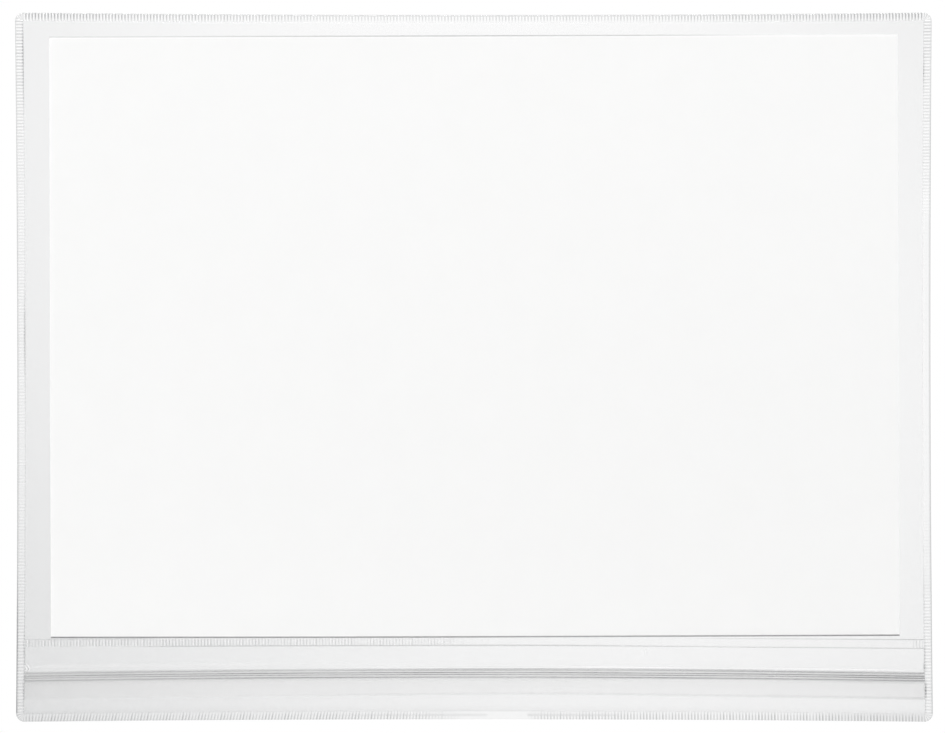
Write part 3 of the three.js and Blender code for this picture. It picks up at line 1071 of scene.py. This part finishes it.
# %% Dark lines of the seam, the step and the lip
LIP_SHADE = 0.5 * MM
foot_line = read_off(across, [(-125, 0.0), (-105, 0.45), (20, 0.5), (90, 0.4), (155, 0.42)])
head_line = read_off(across, [
    (-157, 0.4), (-118, 0.5), (-108, 0.0), (65, 0.0), (80, 0.15), (110, 0.45), (125, 0.45), (150, 0.7),
])
seam_dark = read_off(across, [(-157, 0.4), (-135, 0.45), (-105, 0.5), (-80, 0.42), (0, 0.35), (157, 0.5)])
lip_line = read_off(across, [(-100, 0.0), (-70, 0.04), (-20, 0.12), (100, 0.14), (155, 0.18)])
flap_luck = np.random.default_rng(RIB_SEED + 1).uniform(0.55, 1.0, flap_ribs).repeat(FLAP_STATIONS)
flap_luck = np.append(flap_luck, flap_luck[-1])[:, None]
fan = smooth(-across, 65 * MM, 150 * MM)
step_line = 0.03 + 0.1 * fan
end_line = np.where(across < 0, 0.3, 0.2 + 0.6 * bell(flap_level, step_foot + MM, 1.3 * MM))
end_line = end_line * bell(band_inner - np.abs(across), 0.0, 0.35 * MM)
# Painted shade along all of these lines.
flap_painted_shade = np.maximum.reduce([
    zip_dark,
    top_band,
    seam_dark * seam_groove * in_seam * seam_ribs * flap_luck,
    foot_line * bell(flap_level, seam_bottom, 0.25 * MM) * np.isin(flap_kind, ("seam", "tape")),
    head_line * bell(flap_level, seam_top, 0.22 * MM) * (flap_kind == "seam"),
    lip_line * bell(flap_level, lip_edge + LIP_SHADE, LIP_SHADE) * (flap_kind == "lip"),
    step_line * bell(flap_level, step_foot + 0.6 * MM, 0.16 * MM) * on_step,
    end_line * np.isin(flap_kind, ("tape", "step", "face", "lip")),
])
print(flap_ribs, "ribs in the seam, marks on", int((flap_painted_shade > 0.1).sum()), "points")

# %% [markdown]
# Light lines are painted highlights: on the lands between the seam's ribs, on the step and along the
# bend above the zip, which fans out at the left end, in chevrons on the folded end there, and beside
# a small dent in the tape. The dent's other side and the folded end's other chevrons get painted
# shade, and the lip is drawn lighter.

# %% Light lines of the upper strip
CHEVRON_PITCH = 1.1 * MM
CHEVRON_SLANT = 0.7
DENT_X, DENT_Z = 59.6 * MM, -100.6 * MM
DENT_HEIGHT = 1.1 * MM
LIP_LIGHTER = 0.13
step_white = read_off(across, [(-157, 0.2), (-100, 0.16), (-30, 0.1), (20, 0.04), (60, 0.0)])
step_glow = step_white * bell(flap_level, step_foot + 1.1 * MM, 0.9 * MM) * on_step
bend_white = 0.25 * fan + read_off(across, [
    (-100, 0.05), (-60, 0.15), (-35, 0.4), (0, 0.3), (30, 0.3), (44, 0.8), (62, 0.8), (75, 0.3),
    (100, 0.3), (112, 0.7), (135, 0.7), (155, 0.3),
])
bend_line = bend_white * bell(flap_level, step_foot + 0.15 * MM, 0.16 * MM) * on_step
fan_line = 0.3 * fan * bell(flap_level, step_foot + 0.1 * MM + 1.1 * MM * fan, 0.2 * MM) * on_step
lip_lighter = LIP_LIGHTER * read_off(across, [
    (-157, 0.6), (-130, 1.0), (-100, 1.3), (-30, 1.0), (60, 1.0), (120, 0.7), (157, 0.2),
])
fold_middle = step_foot + 0.6 * MM
chevron_way = band_inner + across + CHEVRON_SLANT * np.abs(flap_level - fold_middle)
chevrons = np.cos(2 * math.pi * chevron_way / CHEVRON_PITCH)
folded_end = bell(band_inner + across, 1.2 * MM, 1.1 * MM) * bell(flap_level, fold_middle, 1.7 * MM)
folded_end = folded_end * np.isin(flap_kind, ("step", "tape"))
dent_rows = bell(flap_level, DENT_Z, DENT_HEIGHT) * (flap_kind == "tape")
dent = bell(across, DENT_X, 0.3 * MM) * dent_rows
dent_shade = bell(across, DENT_X + 0.7 * MM, 0.35 * MM) * dent_rows
# Painted shade beside the dent and on the folded end's dark chevrons.
flap_painted_shade = np.maximum.reduce([flap_painted_shade, 0.08 * dent_shade, 0.6 * (chevrons < -0.3) * folded_end])
# Painted highlights, with the lip drawn lighter.
flap_painted_light = np.maximum.reduce([
    0.5 * seam_land * in_seam * seam_ribs * flap_luck,
    step_glow, bend_line, fan_line, lip_lighter * (flap_kind == "lip"),
    (chevrons > 0.1) * folded_end, 0.3 * dent,
])
zip_flap = strip_mesh("zip_upper_strip", flap_grid, zip_plastic, flap_painted_shade, flap_painted_light, closed=False)
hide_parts("zip_upper_rail")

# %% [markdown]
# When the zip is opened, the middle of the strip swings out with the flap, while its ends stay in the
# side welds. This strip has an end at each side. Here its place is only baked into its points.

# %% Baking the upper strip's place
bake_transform(zip_flap)

# %% [markdown]
# Paper
#
# A blank A4 sheet. White paper is not quite white: its fibres give it a faint mottle and a matt,
# slightly rough skin. Along its lower edge runs a bold line of painted shadow, along its upper edge a
# thin one, and painted highlights run along its left edge and beside those lines. Grid lines close to
# the edges carry those marks.

# %% Material: paper
PAPER_WHITE = (0.93, 0.93, 0.925, 1)
PAPER_FIBRE = (0.9, 0.9, 0.895, 1)
EDGE_SHADE_GREY = (0.2, 0.2, 0.2, 1)
FIBRE_SCALE = 700.0
FIBRE_DETAIL = 3.0
CLOUD_SCALE = 60.0
FIBRE_STRENGTH = 0.15
FIBRE_HEIGHT = 0.05 * MM
PAPER_MATT = 0.85


def paper_material():
    material = bpy.data.materials.new("white_paper")
    material.use_nodes = True
    tree = material.node_tree
    place = add_node(tree, "TexCoord").outputs["Object"]
    fibres = add_node(tree, "TexNoise", Vector=place, Scale=FIBRE_SCALE, Detail=FIBRE_DETAIL)
    clouds = add_node(tree, "TexNoise", Vector=place, Scale=CLOUD_SCALE)
    height = fibres.outputs["Fac"]
    mottle = add_math(tree, "MULTIPLY", height, clouds.outputs["Fac"])
    colour = mix_colour(tree, mottle, PAPER_WHITE, PAPER_FIBRE)
    # Painted shadow darkens the colour towards grey, and painted highlights lighten it towards white.
    for label, tone in (("painted_shade", EDGE_SHADE_GREY), ("painted_light", WHITE)):
        colour = mix_colour(tree, mark_on(tree, label), colour, tone)
    bump = add_node(tree, "Bump", Strength=FIBRE_STRENGTH, Distance=FIBRE_HEIGHT, Height=height)
    shade = tree.nodes["Principled BSDF"]
    fill(tree, shade, Base_Color=colour, Roughness=PAPER_MATT, Normal=bump.outputs["Normal"])
    return material


paper = paper_material()
print("paper:", paper.name)

# %% [markdown]
# The sheet stands where the frame has it, and leans as it does there. Its foot sags by 0.3 mm in the
# middle and less towards both ends, and the sag fades out 40 mm further up. At its lowest the foot
# is a little below the seam's top edge, and lies behind the seam's chamfer.

# %% Where the paper stands
SHEET_WIDTH = 297 * MM
SHEET_HEIGHT = 210.5 * MM
SHEET_THICKNESS = 0.12 * MM
FOOT_SAG = 0.3 * MM
SAG_REACH = 40 * MM
sheet_low, sheet_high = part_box("poster_sheet")
sheet_centre = (sheet_low + sheet_high) / 2
lean = math.asin((sheet_high.z - sheet_low.z - SHEET_HEIGHT) / SHEET_WIDTH)
print(f"paper leans by {math.degrees(lean):.2f} degrees")

# %% Painted shadow and highlights at the paper's edges
FOOT_LINE = 0.5 * MM
TOP_LINE = 0.4 * MM
LINE_SOFT = 0.06 * MM
GLOW_END = 0.85 * MM
LEFT_LINE = 0.95 * MM


def edge_line(distance, width):
    return 1 - smooth(distance, width, width + LINE_SOFT)


def beside_line(distance, width):
    return (distance > width + LINE_SOFT) * (distance < GLOW_END)


def paper_marks(across_sheet, up_sheet):
    """The painted shadow and the painted highlights, at places that are measured from the sheet's middle.
    """
    from_foot = up_sheet + SHEET_HEIGHT / 2
    from_top = SHEET_HEIGHT / 2 - up_sheet
    from_left = across_sheet + SHEET_WIDTH / 2
    foot_grey = 0.8 + 0.16 * (2 * across_sheet / SHEET_WIDTH) ** 4
    top_grey = read_off(across_sheet, [
        (-147, 0.3), (-100, 0.32), (-50, 0.45), (0, 0.5), (60, 0.4), (100, 0.05), (147, 0.0),
    ])
    under_top = 0.5 * beside_line(from_top, TOP_LINE)
    above_foot = 0.5 * (across_sheet < -40 * MM) * beside_line(from_foot, FOOT_LINE)
    left_line = 0.2 * (from_left < LEFT_LINE) * (from_top > TOP_LINE) * (from_foot > FOOT_LINE)
    foot_line = foot_grey * edge_line(from_foot, FOOT_LINE)
    top_line = top_grey * edge_line(from_top, TOP_LINE)
    return np.maximum(foot_line, top_line), np.maximum.reduce([under_top, above_foot, left_line])


print("foot line", round(1e3 * FOOT_LINE, 2), "mm, top line", round(1e3 * TOP_LINE, 2), "mm")

# %% Paper sheet
PAPER_MARGIN = 6 * MM
PAPER_STEP = 8 * MM
PAPER_LIFT = 0.08
edge_cuts = np.array([0, 0.2, 0.4, 0.46, 0.5, 0.56, 0.8, 0.9, 1.2, 2.5]) * MM


def paper_lines(length):
    middle = spaced(-length / 2 + PAPER_MARGIN, length / 2 - PAPER_MARGIN, PAPER_STEP)
    return np.concatenate([edge_cuts - length / 2, middle, length / 2 - edge_cuts[::-1]])


def paper_sheet():
    """The sheet's back stands off the back film by a small share of its thickness."""
    across_sheet, up_sheet = np.meshgrid(
        paper_lines(SHEET_WIDTH), paper_lines(SHEET_HEIGHT), indexing="ij",
    )
    x = across_sheet * math.cos(lean) - up_sheet * math.sin(lean) + sheet_centre.x
    z = across_sheet * math.sin(lean) + up_sheet * math.cos(lean) + sheet_centre.z
    sag = FOOT_SAG * read_off(across_sheet, [(-148, 0.27), (-50, 1.0), (40, 1.0), (148, 0.6)])
    z = z - sag * smooth(-up_sheet, SHEET_HEIGHT / 2 - SAG_REACH, SHEET_HEIGHT / 2)
    foot_gap = 1e3 * float((z[:, 0] - drawn_in(x[:, 0], seam_top)[1]).min())
    print(f"paper's foot is at least {foot_gap:.2f} mm above the seam's top edge")
    grids = [
        np.stack([x, np.full_like(x, -BACK_FILM - share * SHEET_THICKNESS), z], -1)
        for share in (PAPER_LIFT, 1.0)
    ]
    return closed_sheet("paper_sheet", *grids, *paper_marks(across_sheet, up_sheet), paper)


sheet = paper_sheet()
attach(sheet, "sheet")
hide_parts("poster_sheet")
